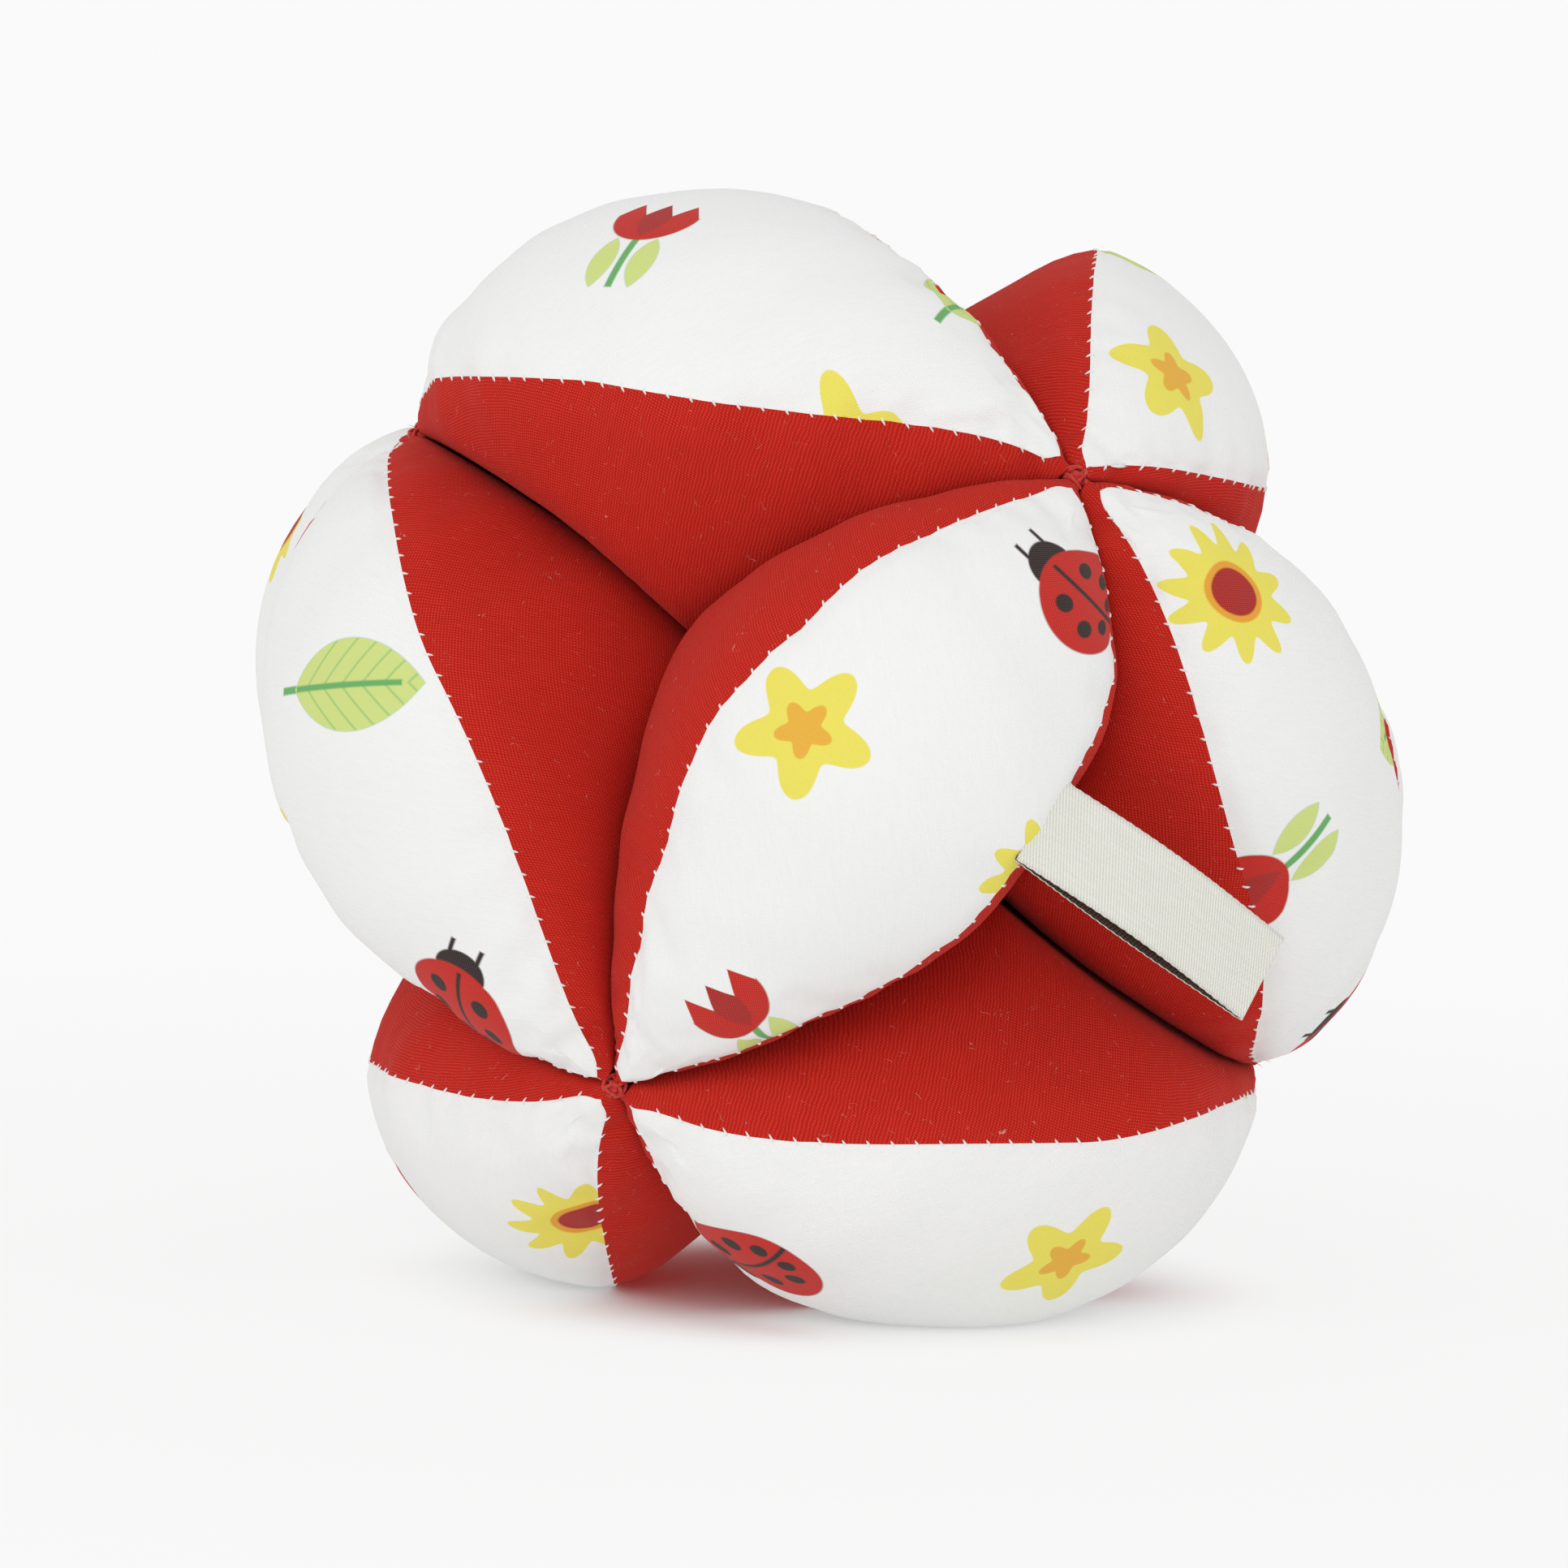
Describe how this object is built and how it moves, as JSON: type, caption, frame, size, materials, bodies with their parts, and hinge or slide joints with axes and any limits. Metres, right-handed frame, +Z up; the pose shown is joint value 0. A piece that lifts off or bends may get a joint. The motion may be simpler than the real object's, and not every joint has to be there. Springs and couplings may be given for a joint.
{
  "type": "soft grasping ball",
  "caption": "Soft sewn grasping ball: stuffed fabric pods joined tip to tip into interlocking rings, with deep finger pits between them and a folded ribbon tag.",
  "frame": {"origin": "on the surface that the ball stands on, under the middle of its bounding box", "axes": "+Z up; the pictured front faces -Y, with +X to the right"},
  "size_m": [0.1312, 0.141, 0.1267],
  "materials": {
    "print_cotton": "white plain-weave cotton with a scattered print, matt",
    "red_cotton": "deep red plain-weave cotton with fine lint, matt",
    "fibre_filling": "loose white polyester fibre",
    "red_thread": "red sewing thread, knotted",
    "ivory_ribbon": "ivory woven ribbon with a fine twill, bare"
  },
  "bodies": {
    "tip_knots": {"upper_front_knot": "red_thread", "upper_back_knot": "red_thread", "upper_left_knot": "red_thread", "lower_right_knot": "red_thread", "lower_back_knot": "red_thread", "lower_front_knot": "red_thread"},
    "front_pod": {"front_outer_panel": "print_cotton", "front_near_side_panel": "red_cotton", "front_far_side_panel": "red_cotton", "front_filling": "fibre_filling"},
    "front_left_pod": {"front_left_outer_panel": "print_cotton", "front_left_near_side_panel": "red_cotton", "front_left_far_side_panel": "red_cotton", "front_left_filling": "fibre_filling"},
    "front_right_pod": {"front_right_outer_panel": "print_cotton", "front_right_near_side_panel": "red_cotton", "front_right_far_side_panel": "red_cotton", "front_right_filling": "fibre_filling"},
    "back_pod": {"back_outer_panel": "print_cotton", "back_near_side_panel": "red_cotton", "back_far_side_panel": "red_cotton", "back_filling": "fibre_filling"},
    "back_left_pod": {"back_left_outer_panel": "print_cotton", "back_left_near_side_panel": "red_cotton", "back_left_far_side_panel": "red_cotton", "back_left_filling": "fibre_filling"},
    "back_right_pod": {"back_right_outer_panel": "print_cotton", "back_right_near_side_panel": "red_cotton", "back_right_far_side_panel": "red_cotton", "back_right_filling": "fibre_filling"},
    "top_front_pod": {"top_front_outer_panel": "print_cotton", "top_front_near_side_panel": "red_cotton", "top_front_far_side_panel": "red_cotton", "top_front_filling": "fibre_filling"},
    "top_right_pod": {"top_right_outer_panel": "print_cotton", "top_right_near_side_panel": "red_cotton", "top_right_far_side_panel": "red_cotton", "top_right_filling": "fibre_filling"},
    "top_back_pod": {"top_back_outer_panel": "print_cotton", "top_back_near_side_panel": "red_cotton", "top_back_far_side_panel": "red_cotton", "top_back_filling": "fibre_filling"},
    "base_front_pod": {"base_front_outer_panel": "print_cotton", "base_front_near_side_panel": "red_cotton", "base_front_far_side_panel": "red_cotton", "base_front_filling": "fibre_filling"},
    "base_back_pod": {"base_back_outer_panel": "print_cotton", "base_back_near_side_panel": "red_cotton", "base_back_far_side_panel": "red_cotton", "base_back_filling": "fibre_filling"},
    "base_left_pod": {"base_left_outer_panel": "print_cotton", "base_left_near_side_panel": "red_cotton", "base_left_far_side_panel": "red_cotton", "base_left_filling": "fibre_filling"},
    "tag": {"ribbon_tag": "ivory_ribbon"}
  },
  "joints": [
    {"name": "front_roll", "type": "hinge", "parent": "tip_knots", "child": "front_pod", "pos_m": [0, -0.04247, 0.06237], "axis": [0.5774, 0, 0.8165], "range_deg": [-6, 6], "stiffness_Nm_per_rad": 0.12},
    {"name": "front_left_roll", "type": "hinge", "parent": "tip_knots", "child": "front_left_pod", "pos_m": [-0.03674, -0.02126, 0.06237], "axis": [0.2887, -0.5, -0.8165], "range_deg": [-6, 6], "stiffness_Nm_per_rad": 0.12},
    {"name": "front_right_roll", "type": "hinge", "parent": "tip_knots", "child": "front_right_pod", "pos_m": [0.03674, -0.02126, 0.06237], "axis": [-0.2887, -0.5, 0.8165], "range_deg": [-6, 6], "stiffness_Nm_per_rad": 0.12},
    {"name": "back_roll", "type": "hinge", "parent": "tip_knots", "child": "back_pod", "pos_m": [0, 0.04238, 0.06237], "axis": [0.5774, 0, 0.8165], "range_deg": [-6, 6], "stiffness_Nm_per_rad": 0.12},
    {"name": "back_left_roll", "type": "hinge", "parent": "tip_knots", "child": "back_left_pod", "pos_m": [-0.03674, 0.02116, 0.06237], "axis": [-0.2887, -0.5, 0.8165], "range_deg": [-6, 6], "stiffness_Nm_per_rad": 0.12},
    {"name": "back_right_roll", "type": "hinge", "parent": "tip_knots", "child": "back_right_pod", "pos_m": [0.03674, 0.02116, 0.06237], "axis": [-0.2887, 0.5, 0.8165], "range_deg": [-6, 6], "stiffness_Nm_per_rad": 0.12},
    {"name": "top_front_roll", "type": "hinge", "parent": "tip_knots", "child": "top_front_pod", "pos_m": [-0.01225, -0.02126, 0.09701], "axis": [0.866, -0.5, 0], "range_deg": [-6, 6], "stiffness_Nm_per_rad": 0.12},
    {"name": "top_right_roll", "type": "hinge", "parent": "tip_knots", "child": "top_right_pod", "pos_m": [0.02449, -0.00005, 0.09701], "axis": [0, -1, 0], "range_deg": [-6, 6], "stiffness_Nm_per_rad": 0.12},
    {"name": "top_back_roll", "type": "hinge", "parent": "tip_knots", "child": "top_back_pod", "pos_m": [-0.01225, 0.02116, 0.09701], "axis": [0.866, 0.5, 0], "range_deg": [-6, 6], "stiffness_Nm_per_rad": 0.12},
    {"name": "base_front_roll", "type": "hinge", "parent": "tip_knots", "child": "base_front_pod", "pos_m": [0.01225, -0.02126, 0.02773], "axis": [-0.866, -0.5, 0], "range_deg": [-6, 6], "stiffness_Nm_per_rad": 0.12},
    {"name": "base_back_roll", "type": "hinge", "parent": "tip_knots", "child": "base_back_pod", "pos_m": [0.01225, 0.02116, 0.02773], "axis": [-0.866, 0.5, 0], "range_deg": [-6, 6], "stiffness_Nm_per_rad": 0.12},
    {"name": "base_left_roll", "type": "hinge", "parent": "tip_knots", "child": "base_left_pod", "pos_m": [-0.02449, -0.00005, 0.02773], "axis": [0, -1, 0], "range_deg": [-6, 6], "stiffness_Nm_per_rad": 0.12},
    {"name": "tag_flap", "type": "hinge", "parent": "front_pod", "child": "tag", "pos_m": [0.0235, -0.05845, 0.05683], "axis": [-0.5337, -0.126, -0.8363], "range_deg": [-6, 78], "stiffness_Nm_per_rad": 0.0008}
  ]
}
